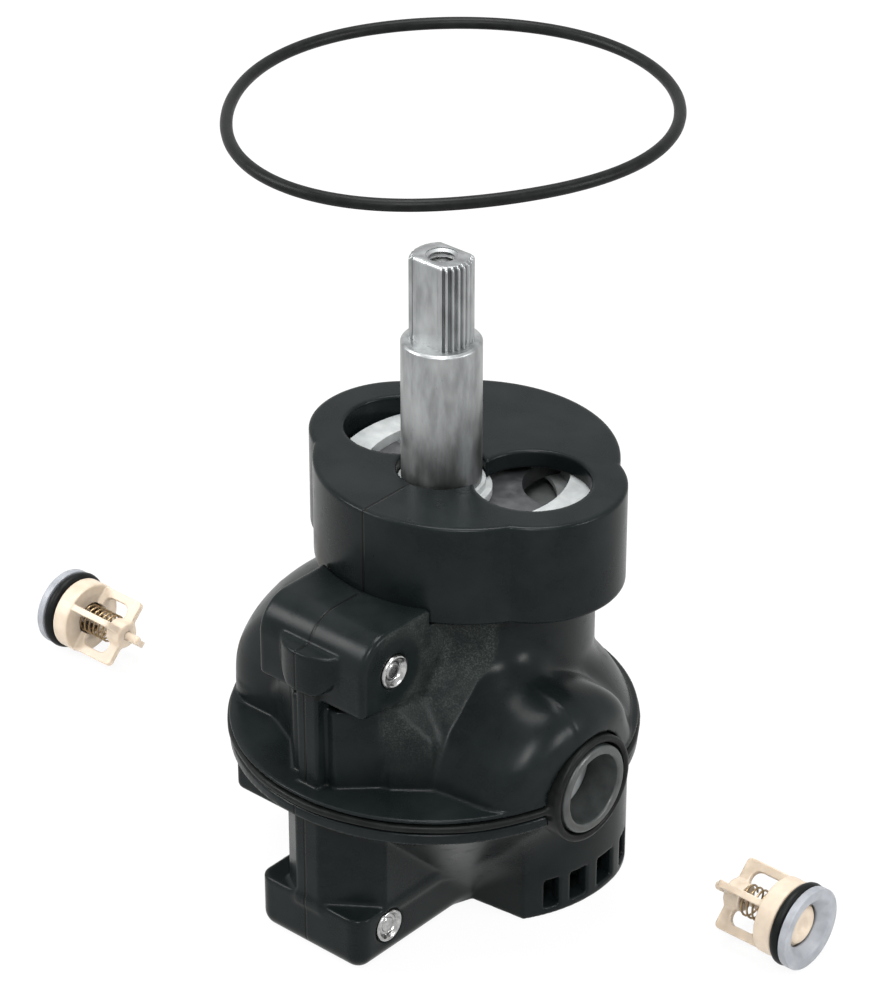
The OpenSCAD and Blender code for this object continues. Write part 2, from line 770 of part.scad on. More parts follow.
module left_valve_seat() {
    lay_left() valve_seat();
}
module left_valve_oring() {
    lay_left() valve_oring();
}
module left_valve_cage() {
    lay_left() valve_cage();
}
module left_valve_poppet() {
    lay_left() valve_poppet();
}
module left_valve_spring() {
    lay_left() valve_spring();
}
module right_valve_seat() {
    lay_right() valve_seat();
}
module right_valve_oring() {
    lay_right() valve_oring();
}
module right_valve_cage() {
    lay_right() valve_cage();
}
module right_valve_poppet() {
    lay_right() valve_poppet();
}
module right_valve_spring() {
    lay_right() valve_spring();
}

stem();
stem_clip();
stem_oring();
stem_collar();
cap();
disc_housing();
outlet_plate();
turning_disc();
fixed_disc();
disc_gasket();
upper_shell();
lower_shell();
body_seal();
upper_pin();
lower_pin();
port_liner_right();
port_liner_left();
sleeve_end_right();
sleeve_end_left();
balance_sleeve();
sleeve_orings();
balance_spool();
housing_oring();
left_valve_seat();
left_valve_oring();
left_valve_cage();
left_valve_poppet();
left_valve_spring();
right_valve_seat();
right_valve_oring();
right_valve_cage();
right_valve_poppet();
right_valve_spring();
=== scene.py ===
# Pressure balance cartridge, laid out with its two check valves and its housing ring.
# Lengths in the making of a piece are in millimetres; a finished mesh is in metres.
# X runs to the right port, Y to the rear and Z up along the stem, whose axis is at x = y = 0.
import bmesh, bpy, json, math
import numpy as np
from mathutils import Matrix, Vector


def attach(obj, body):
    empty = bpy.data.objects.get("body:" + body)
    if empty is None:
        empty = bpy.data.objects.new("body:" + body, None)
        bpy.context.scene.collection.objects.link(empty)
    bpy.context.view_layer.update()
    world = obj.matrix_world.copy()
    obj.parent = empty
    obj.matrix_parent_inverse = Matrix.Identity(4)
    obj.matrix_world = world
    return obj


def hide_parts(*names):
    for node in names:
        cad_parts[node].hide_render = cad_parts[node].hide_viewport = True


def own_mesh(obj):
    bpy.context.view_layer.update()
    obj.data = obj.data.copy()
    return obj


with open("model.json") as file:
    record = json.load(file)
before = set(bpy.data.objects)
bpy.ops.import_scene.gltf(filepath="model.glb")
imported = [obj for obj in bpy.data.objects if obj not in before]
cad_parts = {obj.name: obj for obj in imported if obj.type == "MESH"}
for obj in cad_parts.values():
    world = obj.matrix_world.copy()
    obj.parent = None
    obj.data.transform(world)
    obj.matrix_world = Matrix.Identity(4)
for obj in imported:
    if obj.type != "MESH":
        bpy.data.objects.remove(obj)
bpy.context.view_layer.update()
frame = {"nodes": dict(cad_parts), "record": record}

MM = 0.001
PORT_Z = 24.2                       # height of the port axis and of the joint between the shells
PORT_BORE_R = 6.05
BODY_Y = -1.5                       # the round body's centre, in front of the stem's axis
BODY_R = 26.6
WING_R = 26.3                       # the tall wing above the left port, and the skirt below it
LOBE_Y = 8                          # centre of the lower shell's rear lobe
UPPER_EDGE, LOWER_EDGE = 24.85, 23.4    # where the upper shell ends below and the lower shell above
CAP_Y = 4.8                         # centre of the cap, behind the stem's axis
CAP_LO, CAP_HI = 46.7, 60.6
OUTLET_X = 10.97                    # the cap's outlet holes, to either side of the middle
BLOCK_X = 0.4                       # middle of the upper pinned block and of the pinned foot
UPPER_PIN = (-19.5, 43.1)           # the rivets' holes along X, as y and z
LOWER_PIN = (-20.9, 5.1)
STEM_R = 5.15
STEM_TOP = 90.35
STEM_TEETH = 30
SCREW_CREST_R, SCREW_ROOT_R, SCREW_PITCH = 1.66, 2.02, 0.7
LIT_POINT = Vector((0, 0, 0.04))    # what the lamps shine on, in metres


def placed(name, data):
    """A new object in the scene."""
    obj = bpy.data.objects.new(name, data)
    bpy.context.scene.collection.objects.link(obj)
    return obj


def aim(obj, at, along):
    """Puts a camera or a lamp at a place, to look or shine along a direction."""
    obj.location = at
    obj.rotation_mode = "QUATERNION"
    obj.rotation_quaternion = along.to_track_quat("-Z", "Y")


def aim_camera():
    """The photograph's viewpoint: 41 degrees round, 30 degrees up, with a long lens."""
    az, el = math.radians(41.182), math.radians(30.193)
    back = Vector((math.sin(az) * math.cos(el), -math.cos(az) * math.cos(el), math.sin(el)))
    camera = placed("camera", bpy.data.cameras.new("camera"))
    camera.data.sensor_width, camera.data.lens = 36, 140.07
    camera.data.clip_start, camera.data.clip_end = 0.01, 10
    aim(camera, Vector((280.56, -321.17, 303.75)) * MM, -back)
    bpy.context.scene.camera = camera


aim_camera()
bpy.context.scene.view_settings.view_transform = "Standard"


# ---------------------------------------------------------------- node trees

class Level:
    """A value in a node tree. Its operators add the Math nodes they need."""

    def __init__(self, nodes, socket):
        self.nodes, self.socket = nodes, socket

    def _with(self, operation, first, second):
        return self.nodes.add("ShaderNodeMath", {"operation": operation}, [first, second])

    def __add__(self, other): return self._with("ADD", self, other)
    def __radd__(self, other): return self._with("ADD", other, self)
    def __sub__(self, other): return self._with("SUBTRACT", self, other)
    def __mul__(self, other): return self._with("MULTIPLY", self, other)
    def __rmul__(self, other): return self._with("MULTIPLY", other, self)
    def size(self): return self._with("ABSOLUTE", self, 0.0)
    def least(self, other): return self._with("MINIMUM", self, other)
    def most(self, other): return self._with("MAXIMUM", self, other)
    def sine(self): return self._with("SINE", self, 0.0)
    def cosine(self): return self._with("COSINE", self, 0.0)

    def angle(self, across):
        """The angle whose sine goes with this value and whose cosine goes with across."""
        return self._with("ARCTAN2", self, across)

    def ramp(self, low, high, to_low=0.0, to_high=1.0):
        """Smooth step from to_low at low to to_high at high."""
        return self.nodes.add("ShaderNodeMapRange", {"interpolation_type": "SMOOTHSTEP"},
                              [self, low, high, to_low, to_high])


class Nodes:
    """A node tree, with ways to add nodes to it."""

    def __init__(self, tree):
        self.tree = tree

    def add(self, kind, settings=None, values=(), output=0):
        """A node of a kind, with its settings made first and then its inputs, by place or by name."""
        node = self.tree.nodes.new(kind)
        for name, value in (settings or {}).items():
            if name == "stops":
                for element, (place, colour) in zip(node.color_ramp.elements, value):
                    element.position, element.color = place, (*colour, 1)
            else:
                setattr(node, name, value)
        for name, value in values.items() if isinstance(values, dict) else enumerate(values):
            self.feed(node.inputs[name], value)
        return Level(self, node.outputs[output])

    def feed(self, socket, value):
        """Links a level to an input, or sets the input to a plain value."""
        if isinstance(value, Level):
            self.tree.links.new(value.socket, socket)
        else:
            if isinstance(value, tuple) and len(value) == 3 and socket.type == "RGBA":
                value = (*value, 1)
            socket.default_value = value

    def axis(self, spot, number):
        """One of a place's three distances: 0 for X, 1 for Y and 2 for Z."""
        return self.add("ShaderNodeSeparateXYZ", values=[spot], output=number)

    def blend(self, amount, first, second):
        """From the first colour to the second."""
        node = self.tree.nodes.new("ShaderNodeMix")
        node.data_type = "RGBA"
        for place, value in ((0, amount), (6, first), (7, second)):
            self.feed(node.inputs[place], value)
        return Level(self, node.outputs[2])

    def seen(self):
        """1 for what the camera sees, also in a reflection or through glass, and 0 for the light on a piece."""
        rays = self.tree.nodes.new("ShaderNodeLightPath")
        seen = Level(self, rays.outputs["Is Camera Ray"])
        for kind in ("Is Glossy Ray", "Is Transmission Ray"):
            seen = seen.most(Level(self, rays.outputs[kind]))
        return seen


class Paint(Nodes):
    """One material and its nodes."""

    def __init__(self, name):
        self.material = bpy.data.materials.new(name)
        self.material.use_nodes = True
        super().__init__(self.material.node_tree)
        self.shader = self.tree.nodes["Principled BSDF"]

    def place(self):
        return self.add("ShaderNodeTexCoord", output="Object")

    def noise(self, size_mm, detail=2.0, roughness=0.5, stretch=(1, 1, 1)):
        """Cloudy pattern with features of about size_mm."""
        spot = self.add("ShaderNodeMapping", {"vector_type": "POINT"},
                        {"Vector": self.place(), "Scale": tuple(1 / (size_mm * MM * s) for s in stretch)})
        return self.add("ShaderNodeTexNoise", {},
                        {"Vector": spot, "Scale": 1.0, "Detail": detail, "Roughness": roughness})

    def mark(self, name):
        """How strongly a piece is marked at a place, from 0 to 1."""
        return self.add("ShaderNodeAttribute", {"attribute_name": name}, output="Fac")

    def relief(self, height, depth_mm, strength):
        """The fine unevenness that a height makes in the surface."""
        return self.add("ShaderNodeBump", {}, {"Strength": strength, "Distance": depth_mm * MM, "Height": height})

    def set(self, **values):
        """Puts values on the shader's inputs, named in small letters with underscores."""
        for socket in self.shader.inputs:
            name = socket.name.lower().replace(" ", "_")
            if name in values:
                self.feed(socket, values.pop(name))
        return self.material


class Rule(Nodes):
    """A Geometry Nodes tree that makes a shape by a rule; its named numbers are set for each piece."""

    def __init__(self, name, *numbers):
        super().__init__(bpy.data.node_groups.new(name, "GeometryNodeTree"))
        for label in numbers:
            self.tree.interface.new_socket(label, in_out="INPUT", socket_type="NodeSocketFloat")
        self.tree.interface.new_socket("finish", in_out="INPUT", socket_type="NodeSocketMaterial")
        self.tree.interface.new_socket("shape", in_out="OUTPUT", socket_type="NodeSocketGeometry")
        self.given = self.tree.nodes.new("NodeGroupInput")

    def number(self, label):
        return Level(self, self.given.outputs[label])

    def circle(self, points, radius):
        return self.add("GeometryNodeCurvePrimitiveCircle", values={"Resolution": points, "Radius": radius})

    def close(self, shape):
        """Ends the tree: smooth, made real and given its finish."""
        smooth = self.add("GeometryNodeSetShadeSmooth", values={"Geometry": shape})
        real = self.add("GeometryNodeRealizeInstances", values={"Geometry": smooth})
        done = self.add("GeometryNodeSetMaterial", values={"Geometry": real, "Material": self.number("finish")})
        self.feed(self.tree.nodes.new("NodeGroupOutput").inputs[0], done)
        return self

    def make(self, finish, **numbers):
        """The tree worked out once, as points and faces in millimetres that face outward."""
        host = placed("host", bpy.data.meshes.new("host"))
        work = host.modifiers.new("rule", "NODES")
        work.node_group = self.tree
        sockets = {s.name: s.identifier for s in self.tree.interface.items_tree if s.in_out == "INPUT"}
        for label, value in numbers.items():
            work[sockets[label]] = float(value)
        work[sockets["finish"]] = FINISH[finish]
        bpy.context.view_layer.update()
        made = bpy.data.meshes.new_from_object(host.evaluated_get(bpy.context.evaluated_depsgraph_get()))
        points = np.array([v.co for v in made.vertices])
        faces = [list(f.vertices) for f in made.polygons]
        bpy.data.objects.remove(host)
        volume = sum(float(points[f[0]] @ np.cross(points[a], points[b]))
                     for f in faces for a, b in zip(f[1:], f[2:]))
        return points, inside_out(faces) if volume < 0 else faces


# ---------------------------------------------------------------- finishes

def black_plastic():
    """Moulded glass-filled plastic: satin black, a faint flow pattern, eroded matt areas and the mould's seam."""
    p = Paint("black_plastic")
    flow = p.noise(6.0, 3.0, 0.55)
    fine = p.noise(0.35)
    wipe = p.noise(2.2, 4.0, 0.6, (1, 1, 0.6))
    pits = p.noise(0.22, 2.0, 0.7)
    patch = p.noise(3.0, 3.0, 0.6)
    # The seam is 0.2 mm to either side of x = 0
    seam = p.axis(p.place(), 0).size().ramp(0.00008, 0.00022, 1.0, 0.0) * p.mark("seam")
    matt = p.mark("eroded") * patch.ramp(0.3, 0.6, 0.35, 1.0)
    tone = p.blend(flow.ramp(0.3, 0.75), (0.0042, 0.0060, 0.0062), (0.0072, 0.0095, 0.0095))
    tone = p.blend(matt * pits.ramp(0.42, 0.7, 0.12, 0.9), tone, (0.036, 0.043, 0.039))
    tone = p.blend(seam * 0.8, tone, (0.003, 0.003, 0.003))
    rough = 0.26 + 0.08 * flow.ramp(0.3, 0.8) + 0.14 * wipe.ramp(0.55, 0.8)
    rough = rough + matt * (0.10 + 0.3 * pits.ramp(0.35, 0.65))
    height = fine * 0.12 + flow * 0.35 + matt * pits * 2.2 - seam * 2.0
    return p.set(base_color=tone, roughness=rough.least(0.8), specular_ior_level=0.09,
                 normal=p.relief(height, 0.05, 0.5))


def rubber(name, tone, rough, shine):
    """Moulded rubber or the liners' soft plastic: softer shine than the shells, with faint mottling."""
    p = Paint(name)
    mottle = p.noise(1.6, 3.0, 0.6)
    grain = p.noise(0.2)
    deep = tuple(0.6 * t for t in tone)
    return p.set(base_color=p.blend(mottle.ramp(0.3, 0.7), deep, tone),
                 roughness=rough + 0.14 * mottle.ramp(0.4, 0.8), specular_ior_level=shine,
                 normal=p.relief(grain * 0.5 + mottle, 0.03, 0.4))


def zinc():
    """Die-cast zinc alloy: dull grey metal with soft lengthwise streaks, partly casting flow marks and partly
    painted reflection bands, clouds and a few pits.
    """
    p = Paint("die_cast_zinc")
    flow_and_reflection_streak = p.noise(1.3, 3.0, 0.55, (1, 1, 4))
    cloud = p.noise(4.2, 2.0, 0.5, (1, 1, 1.6))
    pits = p.noise(0.22, 1.0)
    # The lengthwise streaks are painted reflection bands, like those a round shaft shows, mixed with casting flow
    # marks
    tone = p.blend(flow_and_reflection_streak.ramp(0.25, 0.8), (0.23, 0.238, 0.24), (0.38, 0.392, 0.395))
    tone = p.blend(cloud.ramp(0.4, 0.75) * 0.5, tone, (0.48, 0.49, 0.49))
    tone = p.blend(pits.ramp(0.70, 0.8) * 0.4, tone, (0.10, 0.10, 0.10))
    rough = 0.33 + 0.12 * cloud.ramp(0.3, 0.7) + 0.05 * flow_and_reflection_streak
    return p.set(base_color=tone, metallic=1.0, roughness=rough,
                 normal=p.relief(flow_and_reflection_streak * 0.35 + cloud * 0.5 - 0.7 * pits.ramp(0.66, 0.8), 0.02, 0.4))


def metal(name, dark, bright, rough):
    """Plain metal with fine turning or drawing marks."""
    p = Paint(name)
    marks = p.noise(0.6, 3.0, 0.6)
    dull = p.noise(2.0)
    return p.set(base_color=p.blend(marks.ramp(0.25, 0.8), dark, bright), metallic=1.0,
                 roughness=rough + 0.12 * dull.ramp(0.35, 0.75), normal=p.relief(marks, 0.012, 0.5))


def plastic(name, deep, pale, rough, light_through=0.0):
    """Pale moulded plastic or glazed ceramic with soft mottling."""
    p = Paint(name)
    cloud = p.noise(1.8, 3.0, 0.55)
    fine = p.noise(0.25)
    return p.set(base_color=p.blend(cloud.ramp(0.3, 0.75), deep, pale),
                 roughness=rough + 0.1 * cloud.ramp(0.3, 0.8) + 0.04 * fine,
                 subsurface_weight=light_through, subsurface_radius=(1.0, 0.8, 0.6), subsurface_scale=0.0012,
                 normal=p.relief(cloud + 0.3 * fine, 0.02, 0.4))


FINISH = {
    "black_plastic": black_plastic(),
    "zinc": zinc(),
    "steel": metal("bright_steel", (0.30, 0.30, 0.30), (0.54, 0.54, 0.53), 0.2),
    "brass_spool": metal("turned_brass", (0.45, 0.31, 0.12), (0.70, 0.52, 0.24), 0.22),
    "rubber": rubber("black_rubber", (0.0062, 0.0068, 0.0068), 0.38, 0.10),
    "liner_plastic": rubber("liner_black", (0.036, 0.041, 0.040), 0.36, 0.5),
    "white_plastic": plastic("white_acetal", (0.26, 0.275, 0.275), (0.34, 0.355, 0.355), 0.32, 0.1),
    "pale_ceramic": plastic("pale_ceramic", (0.16, 0.17, 0.17), (0.22, 0.23, 0.23), 0.34),
    "grey_ceramic": plastic("grey_ceramic", (0.030, 0.031, 0.033), (0.060, 0.062, 0.064), 0.28),
    "valve_grey": plastic("pale_grey_plastic", (0.19, 0.20, 0.218), (0.25, 0.263, 0.283), 0.38, 0.1),
    "valve_cream": plastic("cream_acetal", (0.43, 0.355, 0.275), (0.50, 0.42, 0.33), 0.4, 0.25),
    "bronze_wire": metal("bronze_wire", (0.22, 0.15, 0.08), (0.42, 0.31, 0.18), 0.28),
}


# ---------------------------------------------------------------- shapes as distance fields

def near(a, b, k):
    """Union of two forms with a fillet of about k."""
    h = np.maximum(k - np.abs(a - b), 0) / k
    return np.minimum(a, b) - h * h * k * 0.25


def both(a, b, k):
    """Where two forms overlap, with the shared edge rounded by about k."""
    return -near(-a, -b, k)


def less(a, b, k):
    """The first form with the second cut out of it, and the edge rounded by about k."""
    return -near(-a, b, k)


def between(v, lo, hi):
    """Distance to the stretch from lo to hi."""
    return np.maximum(lo - v, v - hi)


def step(v, a, b):
    """Smooth step from 0 at a to 1 at b."""
    t = np.clip((v - a) / (b - a), 0, 1)
    return t * t * (3 - 2 * t)


def outline(u, v, points):
    """Distance to a closed outline, below 0 inside it."""
    points = np.asarray(points, float)
    d = np.full(np.shape(u), 1e9, np.result_type(u, np.float32))
    sign = np.ones_like(d)
    for i in range(len(points)):
        a, b = points[i], points[i - 1]
        e = b - a
        wu, wv = u - a[0], v - a[1]
        t = np.clip((wu * e[0] + wv * e[1]) / max(float(e @ e), 1e-12), 0, 1)
        bu, bv = wu - e[0] * t, wv - e[1] * t
        d = np.minimum(d, bu * bu + bv * bv)
        c1, c2, c3 = v >= a[1], v < b[1], e[0] * wv > e[1] * wu
        sign = np.where((c1 & c2 & c3) | (~c1 & ~c2 & ~c3), -sign, sign)
    return sign * np.sqrt(d)


def drawn(flat, depth, r=0.0):
    """A flat outline's distance drawn out to a depth's distance, with edges rounded by r."""
    a, b = flat + r, depth + r
    return np.minimum(np.maximum(a, b), 0) + np.hypot(np.maximum(a, 0), np.maximum(b, 0)) - r


def from_level(level, size):
    """About the distance to a form whose level is 1 at its surface and grows by 1 in a size of millimetres."""
    return level * size - size


def slope(form, points, e=0.03):
    """Distance at each point and the unit direction in which it grows."""
    d = form(*points.T)
    g = np.stack([form(*(points + e * n).T) - form(*(points - e * n).T) for n in np.eye(3)], 1)
    return d, g / np.maximum(np.linalg.norm(g, axis=1, keepdims=True), 1e-9)


def skin(form, lo, hi, cell, settle=3):
    """Mesh of a form's surface on a grid of cells: one point in each cell that the surface crosses."""
    axes = [np.arange(a - cell, b + 2 * cell, cell, dtype=np.float32) for a, b in zip(lo, hi)]
    f = form(*np.meshgrid(*axes, indexing="ij")).astype(np.float32)
    f[f == 0] = 1e-6
    inside = f < 0
    corners = np.array([(i, j, k) for i in (0, 1) for j in (0, 1) for k in (0, 1)])
    count = sum(inside[i:f.shape[0] - 1 + i, j:f.shape[1] - 1 + j, k:f.shape[2] - 1 + k].astype(np.int8)
                for i, j, k in corners)
    cells = np.argwhere((count > 0) & (count < 8))
    number = np.full(count.shape, -1, np.int64)
    number[tuple(cells.T)] = np.arange(len(cells))
    # Each cell's point is the mean of the crossings on its edges
    values = np.stack([f[tuple((cells + q).T)] for q in corners], 1)
    total, hits = np.zeros((len(cells), 3)), np.zeros(len(cells))
    for a in range(8):
        for b in range(a + 1, 8):
            if np.abs(corners[a] - corners[b]).sum() == 1:
                cross = (values[:, a] < 0) != (values[:, b] < 0)
                t = np.where(cross, values[:, a] / np.where(cross, values[:, a] - values[:, b], 1), 0)
                total += np.where(cross[:, None], corners[a] + (corners[b] - corners[a]) * t[:, None], 0)
                hits += cross
    start = np.array([axis[0] for axis in axes])
    points = start + (cells + total / hits[:, None]) * cell
    # A face joins the four cells round each grid edge that the surface crosses
    faces = []
    for axis in range(3):
        u, v = (axis + 1) % 3, (axis + 2) % 3
        low = [slice(0, n) for n in f.shape]
        high = list(low)
        low[axis], high[axis] = slice(0, f.shape[axis] - 1), slice(1, None)
        first, second = inside[tuple(low)], inside[tuple(high)]
        for turn in (False, True):
            edges = np.argwhere((~first & second) if turn else (first & ~second))
            edges = edges[(edges[:, u] > 0) & (edges[:, v] > 0)]
            edges = edges[(edges[:, u] < f.shape[u] - 1) & (edges[:, v] < f.shape[v] - 1)]
            quad = []
            for du, dv in ((1, 1), (0, 1), (0, 0), (1, 0)):
                q = edges.copy()
                q[:, u] -= du
                q[:, v] -= dv
                quad.append(number[tuple(q.T)])
            quad = np.stack(quad, 1)
            faces.append(quad[:, ::-1] if turn else quad)
    for _ in range(settle):
        d, g = slope(form, points)
        points = points - np.clip(d[:, None] * g, -cell * 0.5, cell * 0.5)
    return points, np.concatenate(faces)


# ---------------------------------------------------------------- pieces

def piece(name, shape, finish, body, nodes, marks=None):
    """A finished piece: its shape in millimetres, its finish, the body it rides on and the nodes it stands for."""
    points, faces = shape
    mesh = bpy.data.meshes.new(name)
    mesh.from_pydata([tuple(p) for p in np.asarray(points, float) * MM], [],
                     [tuple(int(i) for i in f) for f in faces])
    mesh.materials.append(FINISH[finish])
    mesh.validate()
    for mark, level in (marks or {}).items():
        mesh.attributes.new(mark, "FLOAT", "POINT").data.foreach_set("value", np.asarray(level, np.float32))
    mesh.shade_smooth()
    obj = placed(name, mesh)
    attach(obj, body)
    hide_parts(*nodes)
    return obj


def moulded(name, form, lo, hi, cell, finish, nodes, marks=None):
    """A moulded piece of the root body from its form; marks say where its surface differs."""
    points, faces = skin(form, lo, hi, cell)
    levels = marks(*points.T, slope(form, points)[1]) if marks else None
    return piece(name, (points, faces), finish, "root", nodes, levels)


def seam_only(front):
    """Marks of a piece that isn't eroded anywhere: its seam shows where y is below front."""
    return lambda x, y, z, n: {"eroded": np.zeros_like(x), "seam": (y < front).astype(float)}


def inside_out(faces):
    """The same faces, facing the other way."""
    return [list(f)[::-1] for f in faces]


def soften(points, r, steps=4):
    """A closed outline with its corners rounded by r, or by less where there is no room."""
    points = [np.asarray(p, float) for p in points]
    out = []
    for i, p in enumerate(points):
        a, b = points[i - 1] - p, points[(i + 1) % len(points)] - p
        la, lb = np.linalg.norm(a), np.linalg.norm(b)
        cut = min(r, la * 0.45, lb * 0.45)
        if p[0] < 1e-6:
            out.append(p)
            continue
        for t in np.linspace(0, 1, steps + 1):
            out.append((1 - t) ** 2 * (p + a / la * cut) + 2 * t * (1 - t) * p + t ** 2 * (p + b / lb * cut))
    return out


def turned(profile, edge, at=(0, 0, 0), axis="Z", steps=96, flip=False):
    """A closed outline (radius, height) with its corners rounded by edge, turned round an axis."""
    profile = soften(profile, edge)
    points, faces, rings = [], [], []
    for r, h in profile:
        if r < 1e-6:
            rings.append([len(points)])
            points.append((0, 0, h))
        else:
            rings.append([len(points) + i for i in range(steps)])
            points += [(r * math.cos(2 * math.pi * i / steps), r * math.sin(2 * math.pi * i / steps), h)
                       for i in range(steps)]
    for a, b in zip(rings, rings[1:] + rings[:1]):
        if len(a) == 1 and len(b) == 1:
            continue
        for i in range(steps):
            j = (i + 1) % steps
            quad = [a[i % len(a)], a[j % len(a)], b[j % len(b)], b[i % len(b)]]
            faces.append([q for n, q in enumerate(quad) if q not in quad[:n]])
    area = sum(p[0] * q[1] - q[0] * p[1] for p, q in zip(profile, profile[1:] + profile[:1]))
    if area < 0:
        faces = inside_out(faces)
    points = np.asarray(points, float)
    if axis == "X":
        points = points[:, [2, 0, 1]]
    if flip:
        points = points * np.array([-1, 1, 1])
        faces = inside_out(faces)
    return points + np.asarray(at, float), faces


def join(*shapes):
    """Several shapes as one."""
    points, faces, base = [], [], 0
    for p, f in shapes:
        points.append(p)
        faces += [[i + base for i in face] for face in f]
        base += len(p)
    return np.concatenate(points), faces


def crisp(obj, angle=32):
    """Makes the edges sharp where two faces meet at more than the angle."""
    mesh = bmesh.new()
    mesh.from_mesh(obj.data)
    for edge in mesh.edges:
        edge.smooth = not (len(edge.link_faces) == 2 and edge.calc_face_angle(0) > math.radians(angle))
    mesh.to_mesh(obj.data)
    mesh.free()


def from_axes(x, y, z):
    """Distances from the round body's upright axis and from the ports' axis."""
    return np.hypot(x, y - BODY_Y), np.hypot(y - BODY_Y, z - PORT_Z)


def head_room(x, y, z, pin):
    """Pockets for a rivet's heads at both ends of its hole."""
    head_r, head_x = 2.4, 8.95
    return np.maximum(np.hypot(y - pin[0], z - pin[1]) - head_r, head_x - np.abs(x))


# ---------------------------------------------------------------- upper shell

PROW = [(-13.4, -17.5), (-8.3, -19.9), (-3.6, -24.4), (3.6, -24.4), (8.3, -19.9), (12.9, -16.5), (13, -12),
        (-17, -12)]


def can(rb, z, r=BODY_R, top=36.4, s=7):
    """Round body of radius r and a top rounded by s."""
    return drawn(rb - r, z - top, s)


def right_dome(x, y, z, rb, low, back):
    """Right-hand half: an arch cuts the dome down towards the front, with a slanting cheek beside the block."""
    dome = near(can(rb, z), np.maximum(0.69 * (rb - 19.0) + 0.724 * (z - 36.7), z - 43), 2.0)
    dome = np.maximum(dome + (low - dome) * back, rb - BODY_R)
    arch = both(-16.5 - y, 0.714 * (z - 37.0) - 0.7 * (y + 8.8), 3.5)
    dome = both(dome, arch + 0.13 * np.maximum(x - 13, 0), 2.5)
    cheek = arch - 0.85 * np.clip(13 - x, 0, 4.2)
    cheek = np.maximum(np.maximum(cheek, x - 13), y - 4)
    return np.maximum(np.maximum(np.minimum(dome, cheek), 6 - x), z - 46)


def left_wing(x, y, z, rb):
    """Left-hand half: a taller dome with a flat front; its rounding starts at a height and has a power."""
    start, power = 27.95, 2.28
    wing = np.abs(np.maximum(rb - 4.2, 0) / 22.1) ** power + np.abs((z - start) / 15.94) ** power
    wing = np.where(z < start, np.maximum(rb - WING_R, 20 - z), from_level(wing ** (1 / power), 18))
    wing = both(wing, -17.5 - y, 2.6)
    return both(np.maximum(wing, x - 2), y - 12, 5)


def upper_block(x, y, z):
    """The pinned block, with the prow under it."""
    section = both(drawn(-y - 25.3, z - 49.05, 4.8), 38.4 - z - 0.11 * (y + 25.3), 0.6)
    block = drawn(np.maximum(section, y + 3), np.abs(x - BLOCK_X) - 8.85, 0.7)
    prow = both(outline(x, y, PROW), (5.5 * (np.abs(x) - 9.3) + 4.1 * (z - 36.5)) / 6.9, 1.0)
    return near(block, both(prow, z - 37.0, 0.6), 1.6)


def front_lug(x, y, z):
    """Half-round lug on the block's front and its rib."""
    half, height = 4.95, 2.9
    lug = from_level(np.hypot((x - BLOCK_X) / half, np.minimum(y + 24.4, 0) / 3.2), 4.0)
    lug = drawn(lug, np.abs(z - UPPER_PIN[1]) - height, 0.3)
    lug = both(lug, (np.abs(x - BLOCK_X) - half + (42.4 - z)) * 0.7, 0.8)
    rib = drawn(np.abs(x - 0.3) - 1.75, between(y, -26.0, -18), 0.3)
    return near(np.maximum(lug, y + 20), np.maximum(rib, between(z, 25.0, 40.2)), 0.5)


def upper_form(x, y, z):
    """The upper shell: drum, port tunnel, neck, dome, wing, block and lug in one."""
    rb, q = from_axes(x, y, z)
    rn = np.hypot(x, y - CAP_Y)
    # At the rear right the round body falls away to the flange
    back = step(y, -2, 9) * step(x + 4, 0, 8)
    low = from_level(np.hypot(np.maximum(rb - 3.4, 0) / 23.2, np.maximum(z - 20.7, 0) / 16.4), 18)
    drum = can(rb, z)
    drum = np.maximum(drum + (low - drum) * back, -3.0 - y)
    tunnel = both(q - 12.25, can(rb, z, BODY_R - 0.2, 39, 8.5), 3.0)
    neck = np.maximum(rn - 16.8, np.maximum(z - 47.5, 20 - z))
    body = near(near(drum, tunnel, 2.0), right_dome(x, y, z, rb, low, back), 0.8)
    body = near(both(body, rb - BODY_R + 0.1, 0.4), neck, 1.6)
    body = near(body, left_wing(x, y, z, rb), 1.2)
    body = near(body, upper_block(x, y, z), 0.7)
    body = near(body, front_lug(x, y, z), 0.35)
    # Flange rim over the rubber band
    rim = drawn(rb - BODY_R - 0.1, between(z, UPPER_EDGE, 25.45), 0.25)
    body = both(near(body, rim, 0.25), UPPER_EDGE - z, 0.25)
    # Room for the cap, the ports and the rivet
    under_cap = np.minimum(rn - 19.8, np.hypot(np.abs(x) - OUTLET_X, y - CAP_Y) - 12.2)
    body = less(body, np.maximum(np.maximum(under_cap, 16.8 - rn), 46.62 - z), 0.15)
    body = less(body, np.maximum(q - 7.5, 23.4 - np.abs(x)), 0.2)
    body = less(body, q - PORT_BORE_R, 0.2)
    return less(body, head_room(x, y, z, UPPER_PIN), 0.2)


def upper_marks(x, y, z, n):
    """Where the tool was spark-eroded, and where its seam runs."""
    side = np.clip((n[:, 0] - 0.15) * 4, 0, 1) * np.clip((0.75 - n[:, 2]) * 4, 0, 1)
    reach = np.clip((13.9 - x) * 2, 0, 1) * np.clip((x - 7.4) * 2, 0, 1)
    far = np.clip((np.hypot(y - UPPER_PIN[0], z - UPPER_PIN[1]) - 4.2) * 0.8, 0, 1)
    far = far * np.clip((y + 22.5) * 0.7, 0, 1)
    return {"eroded": side * reach * far * np.clip((z - 28) / 9, 0.15, 1),
            "seam": ((y < -16) & (z > 25.6)).astype(float)}


moulded("upper_shell_moulding", upper_form, (-27.2, -28.6, 24.4), (27.2, 25.6, 49.2), 0.34,
        "black_plastic", ["upper_shell"], upper_marks)


# ---------------------------------------------------------------- lower shell

WEB = [(-1.5, -26.5), (2.3, -26.5), (9.3, -21.4), (9.3, 2), (-4.6, 2), (-4.6, -24.6)]
WINDOWS = ((-25.5, -19.2), (-14.4, -6.6), (-0.8, 8.2), (14.6, 22.6))    # degrees round the lobe's wall
WALL_DEGREE = 0.345                                                     # millimetres of that wall in a degree


